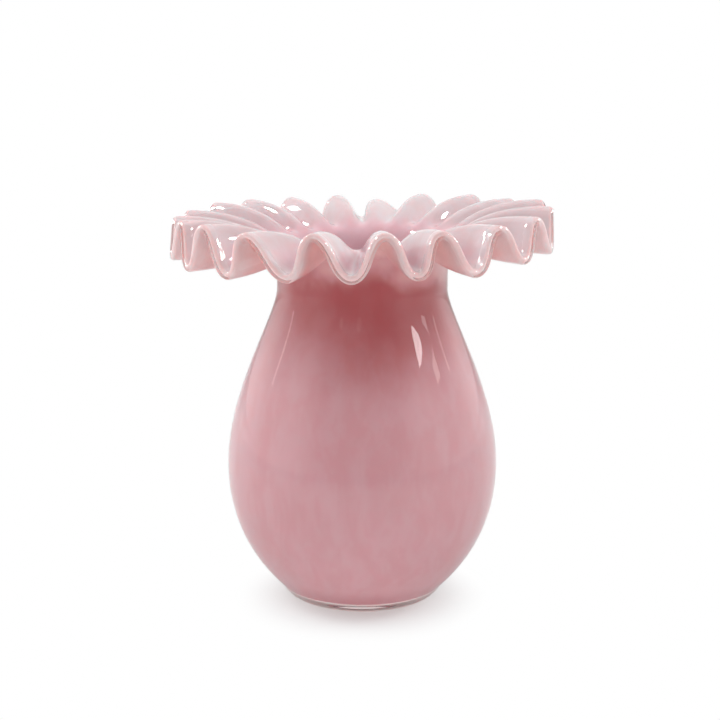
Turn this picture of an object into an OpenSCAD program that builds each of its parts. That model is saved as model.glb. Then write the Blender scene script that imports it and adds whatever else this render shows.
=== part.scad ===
// Ruffled glass vase: a pink lining cased in clear glass, with a crimped collar.
// All lengths are millimetres. +Z is up, and the origin is the middle of the face that it stands on.
// The two layers of glass meet face to face on one surface, called the seam here.

/* [Foot] */
// Diameter of the flat face that the vase stands on
foot_d = 66; // [56:1:74]
// Diameter of the clear foot where the bowl starts
heel_d = 78; // [74:1:88]
// Thickness of clear glass under the pink lining
heel_t = 5.5; // [4:0.5:8]
// Diameter of the ground hollow under the foot
pontil_d = 28; // [16:1:40]
// Depth of the ground hollow
pontil_depth = 1.2; // [0.6:0.1:2]

/* [Bowl] */
// Largest diameter of the bowl
belly_d = 123; // [112:1:134]
// Height of the largest diameter above the foot's top
belly_rise = 54.5; // [44:0.5:64]
// Height from the largest diameter to the neck
shoulder_rise = 81; // [69:0.1:93]
// Diameter of the neck, outside
neck_d = 76.4; // [68:0.2:84]
// Straight length of the neck below the collar
neck_len = 2; // [1:0.1:6]
// Angle at which the bowl leaves the foot
heel_angle = 45.6; // [38:0.1:55]
// Pull of the bowl's curve where it leaves the foot
heel_pull = 16.6; // [12:0.2:20]
// Pull of the bowl's curve below the largest diameter
belly_pull = 25.7; // [20:0.1:30]
// Pull of the bowl's curve above the largest diameter
shoulder_pull = 34; // [28:0.5:40]
// Pull of the bowl's curve where it turns into the neck
neck_pull = 12; // [9:0.1:15]

/* [Glass] */
// Thickness of the clear casing
casing_t = 1.8; // [1.2:0.1:2.2]
// Thickness of the pink lining
lining_t = 1.6; // [1.2:0.1:2]
// Thickness of the pink lining at the floor
floor_t = 3; // [2:0.1:5]
// Radius of the turn from the floor to the wall, inside
floor_blend = 5; // [3:0.5:7]

/* [Collar] */
// Diameter of the collar's edge, measured on the seam
collar_d = 165.4; // [154:0.2:178]
// Height of the collar's edge above its joint with the neck, without the crimps
collar_rise = 22.5; // [18:0.5:26]
// Pull of the collar's curve where it leaves the neck
throat_pull = 21.2; // [17:0.2:25]
// Pull of the collar's curve at its edge
flange_pull = 45.4; // [38:0.2:53]
// Angle at which the collar falls towards its edge
flange_fall = 1.1; // [0:0.1:6]

/* [Crimps] */
// Number of crimps round the collar
crimps = 20; // [16:1:22]
// Height from a crimp's valley to its crest at the edge, measured on the seam
crimp_h = 16.2; // [10:0.2:19]
// How far each crest stands further in than the valleys beside it
crimp_lean = 1.2; // [0:0.1:3]
// How far the collar's high side stands above its middle height
tilt_h = 2.3; // [0:0.1:4]
// Direction of the collar's high side, from +X
tilt_dir = 13; // [0:1:359]
// Direction of the first valley, from +X
first_valley = 191; // [0:1:359]

/* [Hidden] */
$fn = 180;

pink = [0.83, 0.53, 0.57];
pale_pink = [0.90, 0.68, 0.71];
clear = [0.86, 0.90, 0.90, 0.45];

// Steps along each curve of the outlines
foot_steps = 6;
bowl_steps = 16;
dish_steps = 5;
blend_steps = 4;
// Columns of facets in one crimp, and places of the rings across the collar
crimp_cols = 10;
ring_shares = [0, 0.2, 0.36, 0.5, 0.64, 0.8, 1];
bead_steps = 4;

// How much rounder a crest is, and how much steeper the side of a crimp, than in a plain wave
round_share = 0.15;
// Where the crimps start on the way from throat to edge
crimp_start_share = 0.42;
// Step used to find the slope of the collar, as a share of a crimp and of the collar's width
slope_share = 0.001;

// The crimps were pinched by hand, so they differ. One entry is one crimp or one valley, going
// anticlockwise from the first valley: its width, the heights of crest and valley, and how far the
// crest stands off the middle of its crimp.
width_shares = [1.07, 1.07, 1.08, 0.98, 1.00, 0.96, 1.09, 1.14, 1.00, 1.11,
                1.01, 1.02, 0.95, 0.83, 0.91, 0.89, 0.89, 0.93, 0.97, 0.98];
crest_shares = [1.15, 1.17, 0.96, 1.00, 0.97, 0.90, 0.87, 0.95, 1.10, 1.17,
                0.93, 1.00, 0.96, 0.65, 0.97, 1.00, 1.10, 1.15, 1.03, 1.00];
valley_shares = [0.77, 0.94, 1.00, 0.98, 1.03, 1.00, 1.10, 0.87, 0.84, 0.84,
                 0.97, 1.07, 0.88, 0.20, 0.44, 0.80, 0.97, 0.95, 1.00, 0.84];
skew_shares = [0.09, -0.11, -0.20, -0.10, 0, -0.10, -0.04, -0.06, 0, 0,
               0.11, 0.05, 0.12, 0.17, 0.03, 0.05, 0.09, 0, 0.02, -0.07];

foot_r = foot_d / 2;
heel_r = heel_d / 2;
pontil_r = pontil_d / 2;
belly_r = belly_d / 2;
belly_z = heel_t + belly_rise;
neck_r = neck_d / 2;
neck_z = belly_z + shoulder_rise;
collar_r = collar_d / 2;
collar_z = neck_z + neck_len;
seam_r = neck_r - casing_t;
edge_z = collar_z + collar_rise;
wall_t = casing_t + lining_t;
floor_z = heel_t + floor_t;

// Curves

function bezier(p, t) =
    pow(1 - t, 3) * p[0] + 3 * pow(1 - t, 2) * t * p[1] + 3 * (1 - t) * t * t * p[2] + pow(t, 3) * p[3];

function slope(p, t) =
    pow(1 - t, 2) * (p[1] - p[0]) + 2 * (1 - t) * t * (p[2] - p[1]) + t * t * (p[3] - p[2]);

// Point of a curve moved to its left by a distance: towards the axis on a wall that rises
function inset(p, t, by) =
    let (s = slope(p, t))
    bezier(p, t) + by / norm(s) * [-s[1], s[0]];

// The bowl's outside in two curves, [radius, height]: foot to belly, and belly to neck
lower_curve = [
    [heel_r, heel_t],
    [heel_r + heel_pull * cos(heel_angle), heel_t + heel_pull * sin(heel_angle)],
    [belly_r, belly_z - belly_pull],
    [belly_r, belly_z]
];
upper_curve = [
    [belly_r, belly_z],
    [belly_r, belly_z + shoulder_pull],
    [neck_r, neck_z - neck_pull],
    [neck_r, neck_z]
];

// Radius, at a height under the bowl's first curve, of the wall's face that lies this far inside it
function heel_face_r(by, z) = heel_r - by / sin(heel_angle) + (z - heel_t) / tan(heel_angle);

// A face of the bowl's wall from foot to neck, at a distance inside the outer face
function bowl_face(by) = [
    for (i = [0:bowl_steps]) inset(lower_curve, i / bowl_steps, by),
    for (i = [1:bowl_steps]) inset(upper_curve, i / bowl_steps, by),
    [neck_r - by, collar_z]
];

// The inside of the lining, from the middle of the floor, round the turn and up the wall
corner_r = heel_face_r(wall_t, floor_z);
blend_curve = [
    [corner_r - floor_blend, floor_z],
    [corner_r, floor_z],
    [corner_r, floor_z],
    [corner_r, floor_z] + floor_blend * [cos(heel_angle), sin(heel_angle)]
];
lining_inside = [
    [0, floor_z],
    for (i = [0:blend_steps]) bezier(blend_curve, i / blend_steps),
    for (q = bowl_face(wall_t)) if (q[1] > blend_curve[3][1] + lining_t / 4) q
];

// The foot's outside, from the middle of the ground hollow to the bowl
dish_r = (pow(pontil_r, 2) + pow(pontil_depth, 2)) / (2 * pontil_depth);
dish_half_angle = asin(pontil_r / dish_r);
foot_curve = [
    [foot_r, 0],
    [foot_r + (heel_r - foot_r) / 2, 0],
    [heel_r - heel_t / 3 / tan(heel_angle), heel_t - heel_t / 3],
    [heel_r, heel_t]
];
foot_outside = [
    for (i = [0:dish_steps])
        let (a = dish_half_angle * i / dish_steps)
        [dish_r * sin(a), pontil_depth - dish_r * (1 - cos(a))],
    for (i = [0:foot_steps]) bezier(foot_curve, i / foot_steps)
];

// The collar's seam before it is crimped, from the neck out to the edge
collar_curve = [
    [seam_r, collar_z],
    [seam_r, collar_z + throat_pull],
    [collar_r - flange_pull * cos(flange_fall), edge_z + flange_pull * sin(flange_fall)],
    [collar_r, edge_z]
];

// Crimps

function sum(list, n) = n == 0 ? 0 : list[(n - 1) % len(list)] + sum(list, n - 1);

degrees_per_share = 360 / sum(width_shares, crimps);
valley_angles = [for (i = [0:crimps]) first_valley + degrees_per_share * sum(width_shares, i)];

// How fully a crimp is formed: nothing at the throat, all of it at the edge
function formed(t) =
    let (s = max(0, (t - crimp_start_share) / (1 - crimp_start_share)))
    s * s * (3 - 2 * s);

// How fully the collar is tilted: not at all where it is fused to the neck, and all of it at the edge
function tilted(t) = t * (2 - t);

// Height of the wave: -valley to crest, for the turn a that runs from -180 to 180 in one crimp
function wave(i, a) =
    let (low = valley_shares[(a < 0 ? i : i + 1) % crimps % len(valley_shares)])
    (crest_shares[i % len(crest_shares)] + low) * (1 + cos(a)) / 2 - low;

// A point of the crimped seam: crimp i, its turn a, and the share t of the way to the edge
function seam_point(i, a, t) =
    let (
        f = formed(t),
        skew = skew_shares[i % len(skew_shares)] * (1 + cos(a)) / 2,
        across = a / 360 + 0.5 + f * (round_share * sin(2 * a) / (2 * PI) + skew),
        dir = valley_angles[i] + (valley_angles[i + 1] - valley_angles[i]) * across,
        q = bezier(collar_curve, t),
        r = q[0] - f * crimp_lean / 2 * cos(a),
        z = q[1] + f * crimp_h / 2 * wave(i, a) + tilted(t) * tilt_h * cos(dir - tilt_dir)
    )
    [r * cos(dir), r * sin(dir), z];

function unit(v) = v / norm(v);

// Directions at a point of the seam: along the edge, and square to the seam on the pink side
function along(i, a, t) =
    unit(seam_point(i, a + 360 * slope_share, t) - seam_point(i, a - 360 * slope_share, t));
function out_of_seam(i, a, t) =
    t == 0
        ? let (s = along(i, a, t)) [-s[1], s[0], 0]
        : unit(cross(seam_point(i, a, t + slope_share) - seam_point(i, a, t - slope_share), along(i, a, t)));

// The columns round the collar, each as [crimp, turn]
columns = [
    for (i = [0:crimps - 1], j = [0:crimp_cols - 1]) [i, 360 * j / crimp_cols - 180]
];

// One face of the collar in one column, throat to edge, at a distance on the pink side of the seam
function face_line(c, by) = [
    for (t = ring_shares) seam_point(c[0], c[1], t) + by * out_of_seam(c[0], c[1], t)
];

function reversed(list) = [for (i = [len(list) - 1:-1:0]) list[i]];

// The bead's round nose in one column, from the pink side of the edge to the clear side
function nose_line(c) =
    let (
        n = out_of_seam(c[0], c[1], 1),
        outward = cross(along(c[0], c[1], 1), n),
        middle = seam_point(c[0], c[1], 1) + (lining_t - casing_t) / 2 * n
    )
    [for (i = [0:bead_steps])
        let (a = 180 * i / bead_steps)
        middle + wall_t / 2 * (cos(a) * n + sin(a) * outward)];

// A closed ring of glass from its outline in every column, in order. The quads between two columns
// are cut in two along one diagonal, or along the other one in the strips that turned lists.
module glass_ring(outlines, inside_out = false, turned = []) {
    cols = len(outlines);
    pts = len(outlines[0]);
    corners = [for (c = [0:cols - 1], k = [0:pts - 1])
        let (d = (c + 1) % cols, m = (k + 1) % pts)
        [c * pts + k, d * pts + k, d * pts + m, c * pts + m]];
    faces = [for (n = [0:len(corners) - 1])
        let (q = corners[n], other = len(search(n % pts, turned)) > 0)
        each other ? [[q[0], q[1], q[3]], [q[1], q[2], q[3]]] : [[q[0], q[1], q[2]], [q[0], q[2], q[3]]]];
    polyhedron(
        points = [for (o = outlines) each o],
        faces = inside_out ? [for (f = faces) reversed(f)] : faces,
        convexity = crimps
    );
}

// Pieces

// Thick clear foot with the flat face that the vase stands on and the ground hollow in its middle
module clear_foot() {
    color(clear)
        rotate_extrude()
            polygon(concat(foot_outside, [[0, heel_t]]));
}

// Clear outer layer of the bowl and the neck
module clear_casing() {
    color(clear)
        rotate_extrude()
            polygon(concat(
                bowl_face(0),
                reversed(bowl_face(casing_t)),
                [[heel_face_r(casing_t, heel_t), heel_t]]
            ));
}

// Pink inner layer of the bowl and the neck, with its floor
module pink_lining() {
    color(pink)
        rotate_extrude()
            polygon(concat(
                [[0, heel_t], [heel_face_r(casing_t, heel_t), heel_t]],
                bowl_face(casing_t),
                reversed(lining_inside)
            ));
}

// Clear under layer of the crimped collar
module clear_ruffle() {
    color(clear)
        glass_ring([for (c = columns) concat(face_line(c, 0), reversed(face_line(c, -casing_t)))],
            inside_out = true);
}

// Pink upper layer of the crimped collar
module pink_ruffle() {
    color(pale_pink)
        glass_ring([for (c = columns) concat(face_line(c, 0), reversed(face_line(c, lining_t)))]);
}

// Clear bead that closes the edge of both layers, round from being melted in the fire
module lip_bead() {
    color(clear)
        glass_ring([for (c = columns) concat(nose_line(c), [seam_point(c[0], c[1], 1)])],
            inside_out = true, turned = [bead_steps]);
}

clear_foot();
clear_casing();
pink_lining();
clear_ruffle();
pink_ruffle();
lip_bead();
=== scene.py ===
"""A ruffled glass vase on a pale studio floor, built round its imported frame.

The vase is blown from two layers that are fused to each other: a milky pink lining, and a clear
casing that also makes the foot and the bead along the edge. Both are turned ring by ring, and the
collar is then pinched into crimps. Lengths are metres, +Z is up, and the origin is the middle of
the foot.
"""
import logging
import math
from dataclasses import dataclass
from enum import Enum
from functools import cache
from itertools import pairwise

import bpy
import numpy as np
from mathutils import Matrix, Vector


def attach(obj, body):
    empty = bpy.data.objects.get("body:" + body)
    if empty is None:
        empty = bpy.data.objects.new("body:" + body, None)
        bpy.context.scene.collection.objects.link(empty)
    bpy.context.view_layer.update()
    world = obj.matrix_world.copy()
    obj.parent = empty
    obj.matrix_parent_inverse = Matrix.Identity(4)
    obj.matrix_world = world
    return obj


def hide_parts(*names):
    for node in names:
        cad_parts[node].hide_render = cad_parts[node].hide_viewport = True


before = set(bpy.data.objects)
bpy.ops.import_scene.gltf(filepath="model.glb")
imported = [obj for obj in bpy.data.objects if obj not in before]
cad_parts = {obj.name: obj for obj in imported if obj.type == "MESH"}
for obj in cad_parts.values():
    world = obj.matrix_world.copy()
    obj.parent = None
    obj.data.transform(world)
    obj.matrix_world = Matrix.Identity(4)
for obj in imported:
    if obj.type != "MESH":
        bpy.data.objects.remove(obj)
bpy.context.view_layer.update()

MM = 0.001
# How far a point may lie from a ring's radius and height and still count as on the ring
RADIUS_SLACK = 0.3 * MM
HEIGHT_SLACK = 0.1 * MM
# The corners of each face of a turned sheet
FACE_CORNERS = 4
WHITE = (1, 1, 1, 1)
BLACK = (0, 0, 0, 1)
# What takes the height out of a place, and what draws waves out along it
LEVEL = (1, 1, 0)
DRAWN_UP = (1, 1, 0.5)
# The noise at which clouds and streaks start to show and show in full
CLOUD_LIMITS = (0.3, 0.7)
STREAK_LIMITS = (0.35, 0.65)
STREAKS_PER_CLOUD = 3.0
# How far a direction points away from the camera when all of it is behind the axis
BEHIND_FULL = 0.75
# The kinds of rays that show what they meet, and those of them that go straight to it
SEEN = ("Is Camera Ray", "Is Glossy Ray", "Is Transmission Ray")
STRAIGHT = ("Is Camera Ray", "Is Transmission Ray")
log = logging.getLogger("vase")


class Layer(Enum):
    """The two layers of glass, by the record's names for their finish."""

    CLEAR = "clear_glass"
    PINK = "pink_glass"


class Duty(Enum):
    """What a lamp does: it lights the vase, or it shows in the gloss of the glass."""

    LIGHT = "light"
    GLOSS = "gloss"


@dataclass(frozen=True)
class Ring:
    """One ring of an outline: its size before it is crimped, and its place on the collar.

    A ring on the collar has the share of the way from throat to edge, the distance from the seam
    between the two layers, positive on the pink side, and the distance that it stands out past the
    edge.
    """

    radius: float
    height: float
    share: float = -1.0
    lift: float = 0.0
    reach: float = 0.0


def bezier(points: list, t: float) -> np.ndarray:
    """Finds a point of a cubic curve.

    Args:
        points: The curve's four points.
        t: The place on the curve, from 0 to 1.

    Returns:
        The point.
    """
    p = [np.asarray(q, float) for q in points]
    return (1 - t) ** 3 * p[0] + 3 * (1 - t) ** 2 * t * p[1] + 3 * (1 - t) * t * t * p[2] + t**3 * p[3]


def slope(points: list, t: float) -> np.ndarray:
    """Finds the direction of a cubic curve, as a third of its derivative.

    Args:
        points: The curve's four points.
        t: The place on the curve, from 0 to 1.

    Returns:
        The direction, not of length one.
    """
    p = [np.asarray(q, float) for q in points]
    return (1 - t) ** 2 * (p[1] - p[0]) + 2 * (1 - t) * t * (p[2] - p[1]) + t * t * (p[3] - p[2])


def inset(points: list, t: float, by: float) -> tuple[float, float]:
    """Moves a point of an outline curve to the curve's left, towards the axis on a wall that rises.

    Args:
        points: The curve's four points, as radius and height.
        t: The place on the curve.
        by: How far the point moves.

    Returns:
        The radius and height of the moved point.
    """
    radius, height = bezier(points, t)
    along = slope(points, t)
    along = along / np.hypot(*along)
    return float(radius - by * along[1]), float(height + by * along[0])


@dataclass
class Bowl:
    """The round body of the vase from the foot to the neck, as outline curves."""

    foot_d: float = 66 * MM
    heel_d: float = 78 * MM
    heel_t: float = 5.5 * MM
    pontil_d: float = 28 * MM
    pontil_depth: float = 1.2 * MM
    belly_d: float = 123 * MM
    belly_rise: float = 54.5 * MM
    shoulder_rise: float = 81 * MM
    neck_d: float = 76.4 * MM
    neck_len: float = 2 * MM
    heel_angle: float = math.radians(45.6)
    heel_pull: float = 16.6 * MM
    belly_pull: float = 25.7 * MM
    shoulder_pull: float = 34 * MM
    neck_pull: float = 12 * MM
    casing_t: float = 1.8 * MM
    lining_t: float = 1.6 * MM
    floor_t: float = 3 * MM
    floor_blend: float = 5 * MM
    heel_round: float = 1.5 * MM
    least_gap: float = MM / 4
    wall_steps: int = 26
    foot_steps: int = 8
    dish_steps: int = 9
    blend_steps: int = 6
    foot_shares: tuple = (0.97, 0.9, 0.5, 0.1, 0.03)
    floor_shares: tuple = (0.8, 0.55, 0.3, 0.1)

    def __post_init__(self) -> None:
        """Works out the curves from the sizes."""
        self.belly_z = self.heel_t + self.belly_rise
        self.neck_z = self.belly_z + self.shoulder_rise
        self.collar_z = self.neck_z + self.neck_len
        self.wall_t = self.casing_t + self.lining_t
        heel_r, belly_r, neck_r = self.heel_d / 2, self.belly_d / 2, self.neck_d / 2
        heel_out = self.heel_pull * math.cos(self.heel_angle)
        heel_up = self.heel_pull * math.sin(self.heel_angle)
        self.lower = [
            (heel_r, self.heel_t),
            (heel_r + heel_out, self.heel_t + heel_up),
            (belly_r, self.belly_z - self.belly_pull),
            (belly_r, self.belly_z),
        ]
        self.upper = [
            (belly_r, self.belly_z),
            (belly_r, self.belly_z + self.shoulder_pull),
            (neck_r, self.neck_z - self.neck_pull),
            (neck_r, self.neck_z),
        ]

    def heel_face_r(self, by: float, height: float) -> float:
        """Finds the radius, near the heel, of the face that lies this far inside the outer one."""
        outwards = (height - self.heel_t) / math.tan(self.heel_angle)
        return self.heel_d / 2 - by / math.sin(self.heel_angle) + outwards

    def face(self, by: float) -> list[Ring]:
        """Gives a face of the wall, from the neck down to the heel.

        Args:
            by: How far the face lies inside the outer one.

        Returns:
            The face's rings, from the neck down.
        """
        steps = self.wall_steps
        down = [inset(self.upper, 1 - i / steps, by) for i in range(steps)]
        down += [inset(self.lower, 1 - i / steps, by) for i in range(steps + 1)]
        top = (self.neck_d / 2 - by, self.neck_z + self.neck_len / 2)
        return [Ring(*p) for p in [top, *down]]

    def foot(self) -> list[Ring]:
        """Gives the foot's outside.

        Returns:
            The rings from under the heel to the middle of the ground hollow.
        """
        foot_r, heel_r, hollow_r = self.foot_d / 2, self.heel_d / 2, self.pontil_d / 2
        third = self.heel_t / 3
        curve = [
            (heel_r, self.heel_t),
            (heel_r - third / math.tan(self.heel_angle), self.heel_t - third),
            (foot_r + (heel_r - foot_r) / 2, 0),
            (foot_r, 0),
        ]
        side = [Ring(*bezier(curve, i / self.foot_steps)) for i in range(1, self.foot_steps + 1)]
        flat = [Ring(hollow_r + (foot_r - hollow_r) * share, 0) for share in self.foot_shares]
        dish_r = (self.pontil_d**2 / 4 + self.pontil_depth**2) / (2 * self.pontil_depth)
        half = math.asin(hollow_r / dish_r)
        dish = []
        for i in range(self.dish_steps):
            turn = half * (1 - i / self.dish_steps)
            height = self.pontil_depth - dish_r * (1 - math.cos(turn))
            dish.append(Ring(dish_r * math.sin(turn), height))
        return side + flat + dish

    def floor(self, by: float, level: float, blend: float) -> list[Ring]:
        """Gives the turn from a wall's face to a flat floor, and the floor, towards the axis.

        Args:
            by: How far the wall's face lies inside the outer one.
            level: The floor's height.
            blend: How far the turn reaches on either side of the corner.

        Returns:
            The rings from the wall to near the axis.
        """
        corner = self.heel_face_r(by, level)
        curve = [
            (corner + blend * math.cos(self.heel_angle), level + blend * math.sin(self.heel_angle)),
            (corner, level),
            (corner, level),
            (corner - blend, level),
        ]
        turn = [Ring(*bezier(curve, i / self.blend_steps)) for i in range(self.blend_steps + 1)]
        flat = [Ring((corner - blend) * share, level) for share in self.floor_shares]
        return turn + flat

    def shell(self, by: float, level: float, blend: float) -> list[Ring]:
        """Gives a whole cup-shaped face, from the neck down the wall and in over the floor."""
        floor = self.floor(by, level, blend)
        return [r for r in self.face(by) if r.height > floor[0].height + self.least_gap] + floor


@dataclass
class Collar:
    """The wide collar above the neck, and the crimps that its edge is pinched into."""

    bowl: Bowl
    width: float = 165.4 * MM
    rise: float = 22.5 * MM
    throat_pull: float = 21.2 * MM
    flange_pull: float = 45.4 * MM
    flange_fall: float = math.radians(1.1)
    crimp_h: float = 16.2 * MM
    crimp_lean: float = 1.2 * MM
    tilt_h: float = 2.3 * MM
    tilt_dir: float = 13.0
    first_valley: float = 191.0
    round_share: float = 0.15
    start_share: float = 0.42
    slope_share: float = 0.001
    columns_per_crimp: int = 36
    rings_across: int = 24
    width_shares: tuple = (1.07, 1.07, 1.08, 0.98, 1.00, 0.96, 1.09, 1.14, 1.00, 1.11,
                           1.01, 1.02, 0.95, 0.83, 0.91, 0.89, 0.89, 0.93, 0.97, 0.98)
    crest_shares: tuple = (1.15, 1.17, 0.96, 1.00, 0.97, 0.90, 0.87, 0.95, 1.10, 1.17,
                           0.93, 1.00, 0.96, 0.65, 0.97, 1.00, 1.10, 1.15, 1.03, 1.00)
    valley_shares: tuple = (0.77, 0.94, 1.00, 0.98, 1.03, 1.00, 1.10, 0.87, 0.84, 0.84,
                            0.97, 1.07, 0.88, 0.20, 0.44, 0.80, 0.97, 0.95, 1.00, 0.84)
    skew_shares: tuple = (0.09, -0.11, -0.20, -0.10, 0.0, -0.10, -0.04, -0.06, 0.0, 0.0,
                          0.11, 0.05, 0.12, 0.17, 0.03, 0.05, 0.09, 0.0, 0.02, -0.07)

    def __post_init__(self) -> None:
        """Works out the seam's curve and the direction of each valley."""
        seam_r = self.bowl.neck_d / 2 - self.bowl.casing_t
        base, edge = self.bowl.collar_z, self.bowl.collar_z + self.rise
        reach = self.flange_pull * math.cos(self.flange_fall)
        fall = self.flange_pull * math.sin(self.flange_fall)
        self.curve = [
            (seam_r, base),
            (seam_r, base + self.throat_pull),
            (self.width / 2 - reach, edge + fall),
            (self.width / 2, edge),
        ]
        self.crimps = len(self.width_shares)
        self.columns = self.crimps * self.columns_per_crimp
        ends = np.concatenate([[0.0], np.cumsum(self.width_shares)])
        self.valleys = self.first_valley + 360 * ends / ends[-1]

    def seam(self, crimp: np.ndarray, turn: np.ndarray, share: np.ndarray) -> np.ndarray:
        """Finds points of the crimped seam between the two layers.

        Args:
            crimp: The number of each point's crimp.
            turn: The point's place in its crimp, from -180 degrees in one valley to 180 in the next.
            share: The share of the way from throat to edge.

        Returns:
            One row for each point.
        """
        start = np.maximum(0, (share - self.start_share) / (1 - self.start_share))
        formed = start * start * (3 - 2 * start)
        wide = self.round_share * np.sin(np.radians(2 * turn)) / (2 * np.pi)
        skew = np.asarray(self.skew_shares)[crimp] * (1 + np.cos(np.radians(turn))) / 2
        across = turn / 360 + 0.5 + formed * (wide + skew)
        direction = self.valleys[crimp] + (self.valleys[crimp + 1] - self.valleys[crimp]) * across
        low = np.asarray(self.valley_shares)[np.where(turn < 0, crimp, crimp + 1) % self.crimps]
        crest = np.asarray(self.crest_shares)[crimp]
        wave = (crest + low) * (1 + np.cos(np.radians(turn))) / 2 - low
        flat = bezier([np.array(p)[None, :] for p in self.curve], share[:, None])
        tilt = share * (2 - share) * self.tilt_h * np.cos(np.radians(direction - self.tilt_dir))
        radius = flat[:, 0] - formed * self.crimp_lean / 2 * np.cos(np.radians(turn))
        height = flat[:, 1] + formed * self.crimp_h / 2 * wave + tilt
        around = np.radians(direction)
        return np.stack([radius * np.cos(around), radius * np.sin(around), height], 1)

    def place(self, rings: list[Ring], number: np.ndarray, column: np.ndarray) -> np.ndarray:
        """Finds where the crimped collar has the points of its rings.

        Args:
            rings: The collar's rings.
            number: The number of each point's ring.
            column: The number of each point's column, of all those round the collar.

        Returns:
            One row for each point.
        """
        crimp = column // self.columns_per_crimp
        turn = 360 * (column % self.columns_per_crimp) / self.columns_per_crimp - 180.0
        share = np.array([r.share for r in rings])[number]
        lift = np.array([r.lift for r in rings])[number]
        reach = np.array([r.reach for r in rings])[number]
        step, nudge = 360 * self.slope_share, self.slope_share
        along = unit(self.seam(crimp, turn + step, share) - self.seam(crimp, turn - step, share))
        before = np.maximum(share - nudge, 0)
        outward = self.seam(crimp, turn, share + nudge) - self.seam(crimp, turn, before)
        normal = unit(np.cross(outward, along))
        outward = np.cross(along, normal)
        return self.seam(crimp, turn, share) + lift[:, None] * normal + reach[:, None] * outward

    def ring(self, share: float, lift: float, reach: float = 0.0) -> Ring:
        """Gives a ring of the collar, with its size before it is crimped.

        Args:
            share: The ring's share of the way from throat to edge.
            lift: Its distance from the seam, positive on the pink side.
            reach: How far it stands out past its share.

        Returns:
            The ring.
        """
        radius, height = inset(self.curve, share, lift)
        along = slope(self.curve, share)
        along = along / np.hypot(*along)
        return Ring(radius + reach * along[0], height + reach * along[1], share, lift, reach)

    def face(self, lift: float, first: float = 0.0, last: float = 1.0) -> list[Ring]:
        """Gives a face of the collar from one share of its width to another.

        Args:
            lift: The face's distance from the seam, positive on the pink side.
            first: The share where the face starts.
            last: The share where it ends.

        Returns:
            The rings from first to last.
        """
        count = max(2, round(self.rings_across * abs(last - first)))
        return [self.ring(first + (last - first) * i / count, lift) for i in range(count + 1)]

    def nose(self, low: float, high: float, share: float, steps: int) -> list[Ring]:
        """Gives a half-round end from one face to the other.

        Args:
            low: The distance from the seam of the face where the round starts.
            high: That of the face where it ends.
            share: The share of the collar's width at which the round starts.
            steps: The number of steps in the round.

        Returns:
            The rings between the two faces.
        """
        middle, radius = (low + high) / 2, (high - low) / 2
        turns = [math.pi * i / steps for i in range(1, steps)]
        return [self.ring(share, middle - radius * math.cos(turn), abs(radius) * math.sin(turn))
                for turn in turns]


def unit(rows: np.ndarray) -> np.ndarray:
    """Scales each row to length one."""
    return rows / np.linalg.norm(rows, axis=1, keepdims=True)


def turn_on_lathe(name: str, rings: list[Ring], columns: int, closed: bool = False) -> bpy.types.Object:
    """Turns an outline into a sheet, ring by ring.

    Args:
        name: The new object's name.
        rings: The outline's rings, in order.
        columns: The number of columns round the axis.
        closed: Whether the last ring is drawn together to a point on the axis.

    Returns:
        The sheet, open at its first ring.
    """
    bpy.ops.object.select_all(action="DESELECT")
    first = rings[0]
    bpy.ops.mesh.primitive_circle_add(vertices=columns, radius=first.radius,
                                      location=(0, 0, first.height))
    sheet = bpy.context.object
    sheet.name = name
    bpy.ops.object.transform_apply(location=True, rotation=False, scale=False)
    bpy.ops.object.mode_set(mode="EDIT")
    bpy.ops.mesh.select_all(action="SELECT")
    for before, ring in pairwise(rings):
        rise = (0, 0, ring.height - before.height)
        bpy.ops.mesh.extrude_edges_move(TRANSFORM_OT_translate={"value": rise})
        grow = ring.radius / before.radius
        bpy.ops.transform.resize(value=(grow, grow, 1))
    if closed:
        bpy.ops.mesh.extrude_edges_move(TRANSFORM_OT_translate={"value": (0, 0, 0)})
        bpy.ops.mesh.merge(type="CENTER")
    bpy.ops.object.mode_set(mode="OBJECT")
    return sheet


def points_of(piece: bpy.types.Object) -> np.ndarray:
    """Reads a mesh's points.

    Args:
        piece: The mesh.

    Returns:
        One row for each point.
    """
    flat = np.empty(len(piece.data.vertices) * 3)
    piece.data.vertices.foreach_get("co", flat)
    return flat.reshape(-1, 3)


def crimp(sheet: bpy.types.Object, collar: Collar, rings: list[Ring]) -> np.ndarray:
    """Pinches a turned sheet into the collar's crimps.

    Args:
        sheet: The sheet, as it was turned from the rings.
        collar: The collar.
        rings: The rings of the sheet.

    Returns:
        The number of each point's ring.
    """
    points = points_of(sheet)
    radius = np.hypot(points[:, 0], points[:, 1])
    sizes = np.array([(r.radius, r.height) for r in rings])
    off = (radius[:, None] - sizes[:, 0]) ** 2 + (points[:, 2, None] - sizes[:, 1]) ** 2
    number = np.argmin(off, axis=1)
    turn = np.degrees(np.arctan2(points[:, 1], points[:, 0])) % 360
    column = np.round(turn * collar.columns / 360).astype(int) % collar.columns
    sheet.data.vertices.foreach_set("co", collar.place(rings, number, column).ravel())
    sheet.data.update()
    return number


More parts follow.
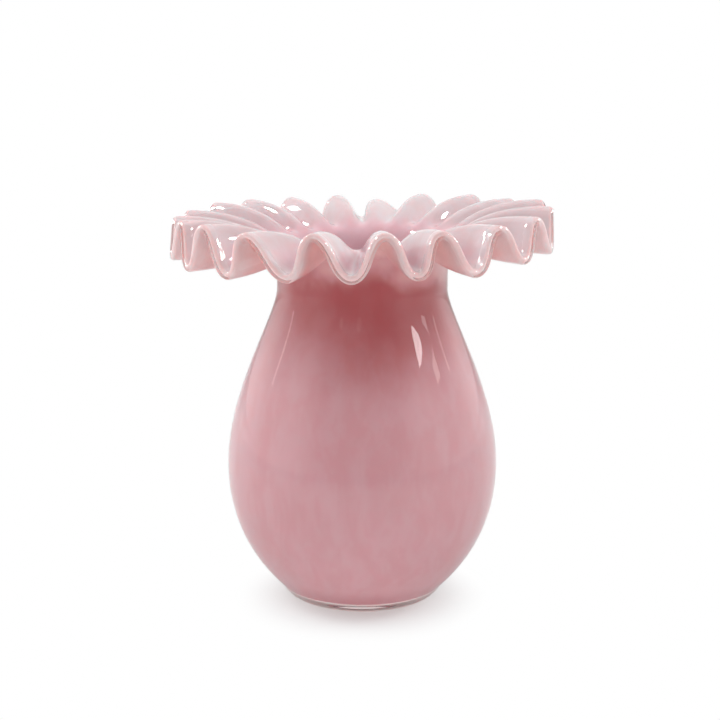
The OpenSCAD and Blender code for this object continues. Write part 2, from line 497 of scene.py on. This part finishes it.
def bridge_rings(piece: bpy.types.Object, radius: float, low: float, high: float,
                 skin: int) -> None:
    """Joins two open rings of one radius with a band.

    Args:
        piece: The mesh that holds both rings.
        radius: The rings' radius.
        low: The lower ring's height.
        high: The upper ring's height.
        skin: The number of the band's material slot.
    """
    bpy.ops.object.mode_set(mode="EDIT")
    bpy.ops.mesh.select_mode(type="EDGE")
    bpy.ops.mesh.select_all(action="DESELECT")
    bpy.ops.mesh.select_non_manifold(extend=False, use_wire=False, use_boundary=True,
                                     use_multi_face=False, use_non_contiguous=False, use_verts=False)
    bpy.ops.object.mode_set(mode="OBJECT")
    points = points_of(piece)
    near = np.abs(np.hypot(points[:, 0], points[:, 1]) - radius) < RADIUS_SLACK
    near &= (points[:, 2] > low - HEIGHT_SLACK) & (points[:, 2] < high + HEIGHT_SLACK)
    for edge in piece.data.edges:
        edge.select = bool(edge.select and near[edge.vertices[0]] and near[edge.vertices[1]])
    bpy.ops.object.mode_set(mode="EDIT")
    bpy.ops.mesh.bridge_edge_loops()
    piece.active_material_index = skin
    bpy.ops.object.material_slot_assign()
    bpy.ops.object.mode_set(mode="OBJECT")


def dress(sheet: bpy.types.Object, skins: list[bpy.types.Material], inner: np.ndarray) -> None:
    """Gives a sheet its materials.

    Args:
        sheet: The sheet.
        skins: The materials of its outer side and of its inner side.
        inner: For each face, whether it is on the inner side.
    """
    for skin in skins:
        sheet.data.materials.append(skin)
    sheet.data.polygons.foreach_set("material_index", inner.astype(np.int32))


@dataclass
class GlassLayer:
    """One layer of the vase: its two cup-shaped faces and the collar's sheet that joins them."""

    name: str
    layer: Layer
    nodes: tuple
    bowl: Bowl
    collar: Collar
    bowl_columns: int = 192

    def build(self, outside: list[Ring], rim: list[Ring], inside: list[Ring], turn_at: int,
              skins: list[bpy.types.Material]) -> bpy.types.Object:
        """Builds the layer's closed mesh.

        Args:
            outside: The rings of the outer cup, from the neck down.
            rim: The rings of the collar, from the outer cup round the edge to the inner cup.
            inside: The rings of the inner cup, from the neck down.
            turn_at: The number of the collar's ring where the inner side starts.
            skins: The materials of the outer side and of the inner side.

        Returns:
            The mesh, smooth shaded and facing out.
        """
        cups = [turn_on_lathe(self.name, cup, self.bowl_columns, closed=True)
                for cup in (outside, inside)]
        for cup, side in zip(cups, (False, True)):
            dress(cup, skins, np.full(len(cup.data.polygons), side))
        sheet = turn_on_lathe(self.name, rim, self.collar.columns)
        number = crimp(sheet, self.collar, rim)
        corners = np.empty(len(sheet.data.loops), np.int32)
        sheet.data.loops.foreach_get("vertex_index", corners)
        first = number[corners].reshape(-1, FACE_CORNERS).min(axis=1)
        dress(sheet, skins, first >= turn_at)
        bpy.ops.object.select_all(action="DESELECT")
        for part in [*cups, sheet]:
            part.select_set(True)
        bpy.context.view_layer.objects.active = sheet
        bpy.ops.object.join()
        for skin, cup in enumerate((outside, inside)):
            bridge_rings(sheet, cup[0].radius, cup[0].height, self.bowl.collar_z, skin)
        bpy.ops.object.mode_set(mode="EDIT")
        bpy.ops.mesh.select_all(action="SELECT")
        bpy.ops.mesh.normals_make_consistent(inside=False)
        bpy.ops.object.mode_set(mode="OBJECT")
        bpy.ops.object.shade_smooth()
        sheet.name = sheet.data.name = self.name
        return sheet

    def attach(self, piece: bpy.types.Object) -> None:
        """Says which nodes the piece stands for and what it rides on.

        Args:
            piece: The layer's finished mesh.
        """
        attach(piece, "root")
        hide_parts(*self.nodes)
        triangles = sum(len(p.vertices) - 2 for p in piece.data.polygons)
        log.info("%s: %d triangles, for %s", piece.name, triangles, ", ".join(self.nodes))


@dataclass
class ClearCasing(GlassLayer):
    """The clear glass: foot, casing, the collar's under layer and the bead, fused into one body.

    Its inner face lies a little inside the pink layer, because the two are fused with nothing
    between them.
    """

    sunk: float = 0.6 * MM
    lap_share: float = 0.977
    tuck_share: float = 0.967
    bead_steps: int = 12

    def make(self) -> bpy.types.Object:
        """Builds the clear glass and dresses it.

        Returns:
            The finished mesh.
        """
        bowl, casing_t, lining_t = self.bowl, self.bowl.casing_t, self.bowl.lining_t
        outside = bowl.face(0) + bowl.foot()
        inside = bowl.shell(casing_t + self.sunk, bowl.heel_t + self.sunk, bowl.heel_round)
        rim = self.collar.face(-casing_t)
        rim += self.collar.nose(-casing_t, lining_t, 1.0, self.bead_steps)
        turn_at = len(rim)
        rim += self.collar.face(lining_t, 1.0, self.lap_share)
        rim += self.collar.face(self.sunk, self.tuck_share, 0.0)
        glass = ClearFinish().material()
        piece = self.build(outside, rim, inside, turn_at, [glass, glass])
        self.attach(piece)
        return piece


@dataclass
class PinkLining(GlassLayer):
    """The milky pink glass inside the casing, from its floor to the edge of the collar.

    At the edge it swells into a round core, as the fire melts both layers there.
    """

    swell_share: float = 0.97
    core_share: float = 0.998
    core_low: float = -0.35 * MM
    core_high: float = 1.25 * MM
    swell_steps: int = 5
    core_steps: int = 10

    def swell(self, lift: float, core_lift: float) -> list[Ring]:
        """Gives the rings in which a face bends from the sheet to the core.

        Args:
            lift: The face's distance from the seam in the sheet.
            core_lift: That distance where the core's round starts.

        Returns:
            The rings from the sheet to the core.
        """
        rings = []
        for i in range(1, self.swell_steps + 1):
            way = i / self.swell_steps
            share = self.swell_share + (self.core_share - self.swell_share) * way
            eased = way * way * (3 - 2 * way)
            rings.append(self.collar.ring(share, lift + (core_lift - lift) * eased))
        return rings

    def make(self) -> bpy.types.Object:
        """Builds the pink glass and dresses its cased and its open side.

        Returns:
            The finished mesh.
        """
        bowl, lining_t = self.bowl, self.bowl.lining_t
        outside = bowl.shell(bowl.casing_t, bowl.heel_t, bowl.heel_round)
        inside = bowl.shell(bowl.wall_t, bowl.heel_t + bowl.floor_t, bowl.floor_blend)
        rim = self.collar.face(0, 0.0, self.swell_share)
        rim += self.swell(0, self.core_low)
        rim += self.collar.nose(self.core_low, self.core_high, self.core_share, self.core_steps)
        turn_at = len(rim)
        rim += self.swell(lining_t, self.core_high)[::-1]
        rim += self.collar.face(lining_t, self.swell_share, 0.0)
        skins = [PinkFinishAndPaintedLight.cased().material(), PinkFinishAndPaintedLight.open_side().material()]
        piece = self.build(outside, rim, inside, turn_at, skins)
        self.attach(piece)
        return piece


class Graph:
    """A node tree that is built node by node."""

    def __init__(self, tree: bpy.types.NodeTree) -> None:
        """Takes the tree that gets the nodes."""
        self.tree = tree

    def node(self, kind: str, inputs: dict | None = None, **settings: object) -> bpy.types.Node:
        """Adds a node.

        Args:
            kind: The node's type without its first word, ShaderNode.
            inputs: A value, or another node's socket, for each input by name or number.
            settings: The node's own properties.

        Returns:
            The node.
        """
        node = self.tree.nodes.new("ShaderNode" + kind)
        for name, value in settings.items():
            setattr(node, name, value)
        for key, value in (inputs or {}).items():
            self.feed(node.inputs[key], value)
        return node

    def feed(self, socket: bpy.types.NodeSocket, value: object) -> None:
        """Gives a socket a value, or links it to another node's socket.

        Args:
            socket: The socket.
            value: The value, or the other node's socket.
        """
        if isinstance(value, bpy.types.NodeSocket):
            self.tree.links.new(value, socket)
        else:
            socket.default_value = value

    def math(self, operation: str, first: object, second: object = 0.0) -> bpy.types.NodeSocket:
        """Adds a sum of one or two numbers."""
        return self.node("Math", {0: first, 1: second}, operation=operation).outputs[0]

    def scale_and_add(self, value: object, by: object, more: object) -> bpy.types.NodeSocket:
        """Adds a number that is scaled and then has another added to it."""
        return self.node("Math", {0: value, 1: by, 2: more}, operation="MULTIPLY_ADD").outputs[0]

    def step(self, value: object, low: object, high: object) -> bpy.types.NodeSocket:
        """Adds a soft step from 0 at the low value to 1 at the high one."""
        limits = {"Value": value, "From Min": low, "From Max": high}
        return self.node("MapRange", limits, interpolation_type="SMOOTHSTEP").outputs["Result"]

    def ramp(self, share: object, start: float, end: float) -> bpy.types.NodeSocket:
        """Adds a number that goes from one value to another as a share goes from 0 to 1."""
        limits = {"Value": share, "To Min": start, "To Max": end}
        return self.node("MapRange", limits).outputs["Result"]

    def mix(self, share: object, first: object, second: object) -> bpy.types.NodeSocket:
        """Adds a mix of two colours."""
        inputs = {"Factor": share, "A": first, "B": second}
        return self.node("Mix", inputs, data_type="RGBA").outputs["Result"]

    def choose(self, share: object, first: object, second: object) -> bpy.types.NodeSocket:
        """Adds a mix of two numbers."""
        inputs = {"Factor": share, "A": first, "B": second}
        return self.node("Mix", inputs, data_type="FLOAT").outputs["Result"]

    def scaled(self, place: object, by: object) -> bpy.types.NodeSocket:
        """Adds a place that is scaled along each axis."""
        return self.node("VectorMath", {0: place, 1: by}, operation="MULTIPLY").outputs["Vector"]

    def direction(self, place: object) -> bpy.types.NodeOutputs:
        """Adds the X, Y and Z of the direction in which a place lies."""
        turned = self.node("VectorMath", {0: place}, operation="NORMALIZE").outputs["Vector"]
        return self.axes(turned)

    def axes(self, place: object) -> bpy.types.NodeOutputs:
        """Adds the X, Y and Z of a place."""
        return self.node("SeparateXYZ", {"Vector": place}).outputs

    def size_on_floor(self, place: object) -> bpy.types.NodeSocket:
        """Adds the distance of a place from the upright axis."""
        flat = self.scaled(place, LEVEL)
        return self.node("VectorMath", {0: flat}, operation="LENGTH").outputs["Value"]

    def behind_axis(self, place: object) -> bpy.types.NodeSocket:
        """Adds a share that is 0 on the camera's side of the axis and 1 behind it."""
        return self.step(self.direction(self.scaled(place, LEVEL))["Y"], 0.0, BEHIND_FULL)

    def rays(self, *kinds: str) -> bpy.types.NodeSocket:
        """Adds a mask that is 1 for some kinds of rays.

        Args:
            kinds: The kinds, each by the name of its output of the light path.

        Returns:
            The mask.
        """
        path = self.node("LightPath")
        last = path.outputs[kinds[0]]
        for kind in kinds[1:]:
            last = self.math("MAXIMUM", last, path.outputs[kind])
        return last

    def group(self, tree: bpy.types.NodeTree, inputs: dict) -> bpy.types.NodeOutputs:
        """Places a node group.

        Args:
            tree: The group.
            inputs: A value, or another node's socket, for each input by name.

        Returns:
            The group's outputs.
        """
        node = self.node("Group", node_tree=tree)
        for key, value in inputs.items():
            self.feed(node.inputs[key], value)
        return node.outputs


def new_group(name: str, takes: dict[str, str], gives: dict[str, str]) -> tuple:
    """Starts a node group.

    Args:
        name: The group's name.
        takes: The kind of each input's socket, by name.
        gives: The kind of each output's socket, by name.

    Returns:
        The group's graph, the sockets that hold its inputs and the sockets that take its outputs.
    """
    tree = bpy.data.node_groups.new(name, "ShaderNodeTree")
    for side, sockets in (("INPUT", takes), ("OUTPUT", gives)):
        for socket, kind in sockets.items():
            tree.interface.new_socket(name=socket, in_out=side, socket_type="NodeSocket" + kind)
    start, end = tree.nodes.new("NodeGroupInput"), tree.nodes.new("NodeGroupOutput")
    return Graph(tree), start.outputs, end.inputs


def new_material(name: str) -> tuple:
    """Starts a material.

    Args:
        name: The material's name.

    Returns:
        The material, its graph and its shader.
    """
    mat = bpy.data.materials.new(name)
    mat.use_nodes = True
    return mat, Graph(mat.node_tree), mat.node_tree.nodes["Principled BSDF"]


@cache
def blown_waves() -> bpy.types.NodeTree:
    """Makes the group for the slow waves that blowing leaves in a glass surface.

    Returns:
        The group.
    """
    takes_kinds = {"Vector": "Vector", "Scale": "Float"}
    graph, takes, gives = new_group("blown waves", takes_kinds, {"Height": "Float"})
    noise = graph.node("TexNoise", {
        "Vector": graph.scaled(takes["Vector"], DRAWN_UP), "Scale": takes["Scale"],
        "Detail": 1.0, "Roughness": 0.4,
    })
    graph.feed(gives["Height"], noise.outputs["Fac"])
    return graph.tree


@cache
def milky_clouds() -> bpy.types.NodeTree:
    """Makes the group for the cloudy patches and the drawn-out streaks in milky glass.

    Returns:
        The group.
    """
    takes_kinds = {"Vector": "Vector", "Scale": "Float", "Stretch": "Float"}
    gives_kinds = {"Cloud": "Float", "Streak": "Float"}
    graph, takes, gives = new_group("milky clouds", takes_kinds, gives_kinds)
    cloud = graph.node("TexNoise", {
        "Vector": takes["Vector"], "Scale": takes["Scale"], "Detail": 3.0, "Roughness": 0.5,
    })
    graph.feed(gives["Cloud"], graph.step(cloud.outputs["Fac"], *CLOUD_LIMITS))
    squash = graph.node("CombineXYZ", {"X": 1.0, "Y": 1.0, "Z": takes["Stretch"]})
    streak = graph.node("TexNoise", {
        "Vector": graph.scaled(takes["Vector"], squash.outputs["Vector"]),
        "Scale": graph.math("MULTIPLY", takes["Scale"], STREAKS_PER_CLOUD),
        "Detail": 4.0, "Roughness": 0.6, "Distortion": 0.4,
    })
    graph.feed(gives["Streak"], graph.step(streak.outputs["Fac"], *STREAK_LIMITS))
    return graph.tree


@cache
def struck_pink_and_painted_light() -> bpy.types.NodeTree:
    """Makes the group for pink glass that struck deeper at the neck and paler at the edge, and that has
    light and shade painted into its colour: painted shade under the collar and in the valleys of the
    crimps, and painted light inside the neck and under the foot.

    Returns:
        The group.
    """
    colors = ("Base", "Heel", "Bowl", "Neck", "Throat", "Valley", "Crest", "Rim", "Tint")
    zones = ("Base", "Heel", "Painted Neck", "Throat", "Collar", "Crest", "Rim")
    takes_kinds = {"Vector": "Vector", "Cloud": "Float", "Streak": "Float"}
    takes_kinds |= {f"{zone} {end}": "Float" for zone in zones for end in ("From", "To")}
    takes_kinds |= {name: "Float" for name in ("Ragged", "Painted Neck Middle", "Painted Neck Fall")}
    takes_kinds |= {name: "Color" for name in colors}
    graph, takes, gives = new_group("struck pink and painted light", takes_kinds, {"Color": "Color"})

    def inside(zone: str, value: bpy.types.NodeSocket) -> bpy.types.NodeSocket:
        """Adds a soft step from 0 where a zone starts to 1 where it is reached."""
        return graph.step(value, takes[f"{zone} From"], takes[f"{zone} To"])

    axes = graph.axes(takes["Vector"])
    height, size = axes["Z"], graph.size_on_floor(takes["Vector"])
    around = graph.math("SUBTRACT", takes["Cloud"], 0.5)
    ragged = graph.scale_and_add(around, takes["Ragged"], height)
    reach = graph.scale_and_add(around, takes["Ragged"], size)
    # Neck zone: it reaches furthest down at the middle X, front and back, and less far to either side.
    # On the cased side its colour is partly deeper pink in the thicker neck and partly painted shade
    # under the collar; on the open side it is painted light inside the neck.
    aside = graph.math("ABSOLUTE", graph.math("SUBTRACT", axes["X"], takes["Painted Neck Middle"]))
    sunk = graph.math("SUBTRACT", ragged, graph.math("MULTIPLY", aside, takes["Painted Neck Fall"]))
    body = graph.mix(inside("Heel", height), takes["Heel"], takes["Bowl"])
    # Painted light: the pale base colour lightens the underside of the pink under the foot.
    body = graph.mix(inside("Base", height), takes["Base"], body)
    body = graph.mix(inside("Painted Neck", sunk), body, takes["Neck"])
    above = inside("Throat", ragged)
    body = graph.mix(above, body, takes["Throat"])
    # Valleys darker than crests: partly thicker pink, partly painted shade in the folds.
    collar = graph.mix(inside("Crest", height), takes["Valley"], takes["Crest"])
    body = graph.mix(graph.math("MULTIPLY", inside("Collar", reach), above), body, collar)
    body = graph.mix(inside("Rim", size), body, takes["Rim"])
    tinted = graph.mix(1.0, body, takes["Tint"])
    tinted.node.blend_type = "MULTIPLY"
    graph.feed(gives["Color"], graph.mix(takes["Streak"], body, tinted))
    return graph.tree


@dataclass(frozen=True)
class ClearFinish:
    """Clear fire-polished glass, which lets lamps through and darkens with depth."""

    tint: tuple = (0.975, 0.98, 0.975, 1)
    passed: float = 0.96
    ior: float = 1.5
    roughness: float = 0.0
    wave_scale: float = 55.0
    wave_depth: float = 0.08 * MM
    depth_tint: tuple = (0.62, 0.45, 0.44, 1)
    depth_density: float = 11.0

    def material(self) -> bpy.types.Material:
        """Makes the material.

        Returns:
            The material.
        """
        mat, graph, glass = new_material("clear glass")
        graph.feed(glass.inputs["Base Color"], self.tint)
        graph.feed(glass.inputs["Roughness"], self.roughness)
        graph.feed(glass.inputs["IOR"], self.ior)
        graph.feed(glass.inputs["Transmission Weight"], 1.0)
        place = graph.node("TexCoord").outputs["Object"]
        waves = graph.group(blown_waves(), {"Vector": place, "Scale": self.wave_scale})["Height"]
        bump = graph.node("Bump", {"Strength": 1.0, "Distance": self.wave_depth, "Height": waves})
        graph.feed(glass.inputs["Normal"], bump.outputs["Normal"])
        path = graph.node("LightPath")
        passed = (self.passed, self.passed, self.passed, 1)
        passing = graph.node("BsdfTransparent", {"Color": passed}).outputs["BSDF"]
        last = glass.outputs["BSDF"]
        for ray in ("Is Diffuse Ray", "Is Shadow Ray"):
            mixed = graph.node("MixShader", {0: path.outputs[ray], 1: last, 2: passing})
            last = mixed.outputs["Shader"]
        output = mat.node_tree.nodes["Material Output"]
        graph.feed(output.inputs["Surface"], last)
        depth = {"Color": self.depth_tint, "Density": self.depth_density}
        thick = graph.node("VolumeAbsorption", depth)
        graph.feed(output.inputs["Volume"], thick.outputs["Volume"])
        return mat


@dataclass(frozen=True)
class PinkFinishAndPaintedLight:
    """Milky pink glass, whose colour changes from zone to zone.

    Base, heel, painted neck, throat and crest zones go by height, collar and rim by distance from the
    axis.
    Some of them paint light and shade into the colour: painted shade under the collar and in the
    valleys of the crimps, and painted light inside the neck and under the foot.
    """

    name: str
    roughness: float
    specular: float
    base_color: tuple
    heel_color: tuple
    bowl_color: tuple
    neck_color: tuple
    throat_color: tuple
    valley_color: tuple
    crest_color: tuple
    rim_color: tuple
    tint: tuple
    collar_from: float
    collar_to: float
    base_from: float = 5.5 * MM
    base_to: float = 5.65 * MM
    heel_from: float = 5.5 * MM
    heel_to: float = 15 * MM
    # The neck zone, painted shade under the collar on the cased side and painted light inside the neck
    # on the open side: the X where it reaches lowest, how fast it rises to either side, and the heights
    # where it starts and is reached.
    painted_neck_middle: float = 12 * MM
    painted_neck_fall: float = 0.22
    painted_neck_from: float = 88 * MM
    painted_neck_to: float = 136 * MM
    throat_from: float = 145 * MM
    throat_to: float = 157 * MM
    crest_from: float = 158 * MM
    crest_to: float = 171 * MM
    rim_from: float = 71 * MM
    rim_to: float = 81 * MM
    ragged: float = 8 * MM
    milk: float = 0.8
    depth: float = 1.0 * MM
    spread: tuple = (1.0, 0.45, 0.45)
    cloud_scale: float = 38.0
    stretch: float = 0.4

    @classmethod
    def cased(cls) -> "PinkFinishAndPaintedLight":
        """Gives the side that clear glass is fused to, which has no gloss of its own."""
        return cls(
            name="pink glass, cased", roughness=0.6, specular=0.0,
            # Painted light: the pale base colour lightens the underside of the pink under the foot.
            base_color=(0.95, 0.80, 0.80, 1), heel_color=(0.56, 0.27, 0.30, 1),
            # Painted shade: the deep neck colour is partly deeper pink in the thicker neck and partly
            # the collar's shadow.
            bowl_color=(0.66, 0.37, 0.405, 1), neck_color=(0.47, 0.125, 0.135, 1),
            # The valley colour is darker than the crest colour: partly thicker pink, partly painted
            # shade in the folds.
            throat_color=(0.69, 0.345, 0.37, 1), valley_color=(0.81, 0.52, 0.52, 1),
            crest_color=(0.92, 0.63, 0.61, 1), rim_color=(0.81, 0.63, 0.635, 1),
            tint=(0.98, 0.90, 0.89, 1), collar_from=35 * MM, collar_to=45 * MM,
        )

    @classmethod
    def open_side(cls) -> "PinkFinishAndPaintedLight":
        """Gives the side that is open to the air, and glossy."""
        return cls(
            name="pink glass, open", roughness=0.03, specular=0.5,
            base_color=(0.66, 0.37, 0.405, 1), heel_color=(0.66, 0.37, 0.405, 1),
            # Painted light: the paler neck colour lights the deep inside of the neck, where shade
            # falls.
            bowl_color=(0.66, 0.37, 0.405, 1), neck_color=(0.86, 0.57, 0.65, 1),
            # The valley colour is darker and more saturated than the crest colour: partly thicker pink,
            # partly painted shade in the folds.
            throat_color=(0.74, 0.49, 0.54, 1), valley_color=(0.75, 0.51, 0.56, 1),
            crest_color=(0.69, 0.565, 0.585, 1), rim_color=(0.75, 0.61, 0.63, 1),
            tint=(0.98, 0.92, 0.91, 1), collar_from=36 * MM, collar_to=48 * MM,
        )

    def material(self) -> bpy.types.Material:
        """Makes the material.

        Returns:
            The material.
        """
        mat, graph, glass = new_material(self.name)
        place = graph.node("TexCoord").outputs["Object"]
        clouds = graph.group(milky_clouds(), {
            "Vector": place, "Scale": self.cloud_scale, "Stretch": self.stretch,
        })
        shade = graph.group(struck_pink_and_painted_light(), {
            "Vector": place, "Cloud": clouds["Cloud"], "Streak": clouds["Streak"],
            "Base": self.base_color, "Heel": self.heel_color, "Bowl": self.bowl_color,
            "Neck": self.neck_color, "Throat": self.throat_color, "Valley": self.valley_color,
            "Crest": self.crest_color, "Rim": self.rim_color, "Tint": self.tint,
            "Base From": self.base_from, "Base To": self.base_to,
            "Heel From": self.heel_from, "Heel To": self.heel_to,
            "Painted Neck From": self.painted_neck_from, "Painted Neck To": self.painted_neck_to,
            "Painted Neck Middle": self.painted_neck_middle, "Painted Neck Fall": self.painted_neck_fall,
            "Throat From": self.throat_from, "Throat To": self.throat_to,
            "Collar From": self.collar_from, "Collar To": self.collar_to,
            "Crest From": self.crest_from, "Crest To": self.crest_to,
            "Rim From": self.rim_from, "Rim To": self.rim_to, "Ragged": self.ragged,
        })
        graph.feed(glass.inputs["Base Color"], shade["Color"])
        graph.feed(glass.inputs["Roughness"], self.roughness)
        graph.feed(glass.inputs["Specular IOR Level"], self.specular)
        graph.feed(glass.inputs["Subsurface Weight"], self.milk)
        graph.feed(glass.inputs["Subsurface Radius"], self.spread)
        graph.feed(glass.inputs["Subsurface Scale"], self.depth)
        return mat


@dataclass(frozen=True)
class Softbox:
    """A flat lamp that faces the vase.

    Its azimuth is in degrees from the camera's side towards the right, and a brightness of 1 is white.
    """

    name: str
    azimuth: float
    elevation: float
    width: float
    height: float
    brightness: float
    duty: Duty
    distance: float = 1.2
    aim_z: float = 0.1

    def light(self) -> None:
        """Hangs the lamp."""
        lamp = bpy.data.lights.new(self.name, "AREA")
        lamp.shape = "RECTANGLE"
        lamp.size, lamp.size_y = self.width, self.height
        # A rectangle lamp's face shows a quarter of its energy over its area
        lamp.energy = 4 * self.brightness * self.width * self.height
        turn, tilt = math.radians(self.azimuth), math.radians(self.elevation)
        out = math.cos(tilt)
        towards = Vector((math.sin(turn) * out, -math.cos(turn) * out, math.sin(tilt)))
        stand = bpy.data.objects.new(self.name, lamp)
        stand.location = towards * self.distance + Vector((0, 0, self.aim_z))
        stand.rotation_euler = towards.to_track_quat("Z", "Y").to_euler()
        stand.visible_glossy = self.duty is not Duty.LIGHT
        stand.visible_diffuse = self.duty is not Duty.GLOSS
        bpy.context.scene.collection.objects.link(stand)


@dataclass
class Studio:
    """The pale floor, the white surroundings, the lamps and the camera."""

    camera_distance: float = 595 * MM
    camera_height: float = 233.8 * MM
    camera_pitch: float = 11.98
    focal_px: float = 1341.2
    axis_px: float = 362.3
    frame_px: float = 720.0
    sensor_width: float = 36.0
    clip_from: float = 0.01
    clip_to: float = 50.0
    floor_size: float = 8.0
    floor_gap: float = 0.2 * MM
    floor_color: tuple = (0.81, 0.85, 0.845, 1)
    floor_roughness: float = 0.9
    under_glow: float = 0.2
    glow_from: float = 15 * MM
    glow_to: float = 59 * MM
    shadow_shift: float = 10 * MM
    sweep_from: float = 0.25
    sweep_to: float = 0.8
    surround: float = 0.62
    sweep: float = 1.0
    room: float = 0.3
    left_panel: float = 0.85
    right_panel: float = 0.8
    panels_from: float = 0.5
    panels_to: float = 0.9
    table_from: float = 0.08
    table_to: float = 1.5
    front_glow: float = 0.2
    front_from: float = 0.3
    front_to: float = 0.9

    def camera(self) -> None:
        """Sets the camera where the photograph was taken from."""
        data = bpy.data.cameras.new("camera")
        data.sensor_width = self.sensor_width
        data.lens = self.sensor_width * self.focal_px / self.frame_px
        data.clip_start, data.clip_end = self.clip_from, self.clip_to
        eye = bpy.data.objects.new("camera", data)
        aside = (self.frame_px / 2 - self.axis_px) * self.camera_distance / self.focal_px
        eye.location = (aside, -self.camera_distance, self.camera_height)
        eye.rotation_euler = (math.radians(90 - self.camera_pitch), 0, 0)
        bpy.context.scene.collection.objects.link(eye)
        bpy.context.scene.camera = eye

    def panels(self, graph: Graph, aside: bpy.types.NodeSocket) -> bpy.types.NodeSocket:
        """Adds the brightness of the white panels on either side of the vase.

        Args:
            graph: The node tree.
            aside: How far a direction points to the right, from -1 to 1.

        Returns:
            The brightness in that direction.
        """
        left = graph.step(aside, -self.panels_from, -self.panels_to)
        right = graph.step(aside, self.panels_from, self.panels_to)
        right = graph.math("MULTIPLY", right, self.right_panel)
        return graph.scale_and_add(left, self.left_panel, right)

    def world(self) -> None:
        """Surrounds the vase with a white sweep, brighter panels beside it and a dim room in front.

        Diffuse light gets an even share of it, so that the vase is lit at a plain level.
        """
        world = bpy.data.worlds.new("white surroundings")
        bpy.context.scene.world = world
        world.use_nodes = True
        graph = Graph(world.node_tree)
        direction = graph.node("TexCoord").outputs["Generated"]
        panels = self.panels(graph, graph.axes(direction)["X"])
        sides = graph.ramp(graph.behind_axis(direction), self.room, self.sweep)
        mirrored = graph.math("ADD", sides, panels)
        seen = graph.choose(graph.rays(*STRAIGHT), mirrored, 1.0)
        strength = graph.choose(graph.rays(*SEEN), self.surround, seen)
        background = world.node_tree.nodes["Background"]
        graph.feed(background.inputs["Color"], WHITE)
        graph.feed(background.inputs["Strength"], strength)

    def floor(self) -> None:
        """Lays the pale floor, which glows white for the eye round the vase's contact shadow.

        For gloss it ends early in front of the vase, as a small white sweep does, and brightens
        towards the panels beside it. Diffuse light gets a soft glow from under the vase and from the
        floor in front.
        """
        bpy.ops.object.select_all(action="DESELECT")
        bpy.ops.mesh.primitive_plane_add(size=self.floor_size, location=(0, 0, -self.floor_gap))
        floor = bpy.context.object
        floor.name = "floor"
        mat, graph, paint = new_material("pale floor")
        place = graph.node("TexCoord").outputs["Object"]
        reach = graph.size_on_floor(place)
        front = graph.math("SUBTRACT", 1.0, graph.behind_axis(place))
        past = graph.math("MULTIPLY", graph.step(reach, self.sweep_from, self.sweep_to), front)
        ended = graph.math("MULTIPLY", past, graph.rays("Is Glossy Ray"))
        shifted = graph.node("VectorMath", {0: place, 1: (0, self.shadow_shift, 0)}).outputs["Vector"]
        clear = graph.step(graph.size_on_floor(shifted), self.glow_from, self.glow_to)
        white = graph.math("MULTIPLY", clear, graph.rays(*STRAIGHT))
        body = graph.mix(ended, self.floor_color, (self.room, self.room, self.room, 1))
        graph.feed(paint.inputs["Base Color"], graph.mix(white, body, BLACK))
        graph.feed(paint.inputs["Roughness"], self.floor_roughness)
        graph.feed(paint.inputs["Specular IOR Level"], 0.0)
        graph.feed(paint.inputs["Emission Color"], WHITE)
        side = graph.direction(place)
        lit = graph.step(side["Y"], -self.front_from, -self.front_to)
        lit = graph.math("MULTIPLY", lit, self.front_glow)
        lit = graph.math("ADD", lit, graph.ramp(clear, self.under_glow, 0.0))
        lit = graph.math("MULTIPLY", lit, graph.rays("Is Diffuse Ray"))
        table = graph.step(reach, self.table_from, self.table_to)
        table = graph.math("MULTIPLY", table, self.panels(graph, side["X"]))
        table = graph.math("MULTIPLY", table, graph.rays("Is Glossy Ray"))
        glow = graph.math("ADD", white, graph.math("ADD", table, lit))
        graph.feed(paint.inputs["Emission Strength"], glow)
        floor.data.materials.append(mat)

    def lamps(self) -> None:
        """Hangs the lamps: wide ones for soft light, and windows and strips that glass mirrors."""
        # Name, azimuth, elevation, width, height, brightness and duty
        boxes = [
            Softbox("left softbox", -100, 8, 1.0, 1.2, 1.0, Duty.LIGHT),
            Softbox("right softbox", 105, 15, 1.0, 1.2, 0.25, Duty.LIGHT),
            Softbox("front softbox", 0, 8, 1.0, 0.7, 0.7, Duty.LIGHT),
            Softbox("top softbox", 180, 65, 1.0, 1.0, 0.65, Duty.LIGHT),
            Softbox("left key", -100, 48, 0.42, 0.36, 5.5, Duty.LIGHT),
            Softbox("right key", 94, 42, 0.36, 0.30, 8.5, Duty.LIGHT),
            Softbox("left window", -100, 48, 0.42, 0.36, 7.0, Duty.GLOSS),
            Softbox("left lamp", -103, 48, 0.17, 0.15, 200.0, Duty.GLOSS),
            Softbox("left back lamp", -128, 21, 0.10, 0.20, 60.0, Duty.GLOSS),
            Softbox("right window", 94, 42, 0.36, 0.30, 7.0, Duty.GLOSS),
            Softbox("right lamp", 96, 42, 0.16, 0.14, 200.0, Duty.GLOSS),
            Softbox("right back lamp", 128, 21, 0.10, 0.20, 60.0, Duty.GLOSS),
            Softbox("right pane", 70.5, 26.4, 0.24, 0.05, 7.0, Duty.GLOSS),
            Softbox("low pane", 84, 20, 0.12, 0.07, 2.2, Duty.GLOSS),
            Softbox("left strip", -99, 22, 0.04, 0.38, 1.6, Duty.GLOSS),
            Softbox("right strip", 101, 21, 0.04, 0.26, 1.4, Duty.GLOSS),
        ]
        for box in boxes:
            box.light()

    def build(self) -> None:
        """Builds the whole studio."""
        bpy.context.scene.view_settings.view_transform = "Standard"
        self.world()
        self.floor()
        self.lamps()


def main() -> None:
    """Builds the studio and the vase."""
    logging.basicConfig(level=logging.INFO, format="%(name)s: %(message)s")
    studio = Studio()
    studio.camera()
    studio.build()
    bowl = Bowl()
    collar = Collar(bowl)
    PinkLining("pink_glass_body", Layer.PINK, ("pink_lining", "pink_ruffle"), bowl, collar).make()
    clear_nodes = ("clear_foot", "clear_casing", "clear_ruffle", "lip_bead")
    ClearCasing("clear_glass_body", Layer.CLEAR, clear_nodes, bowl, collar).make()


if __name__ == "__main__":
    main()
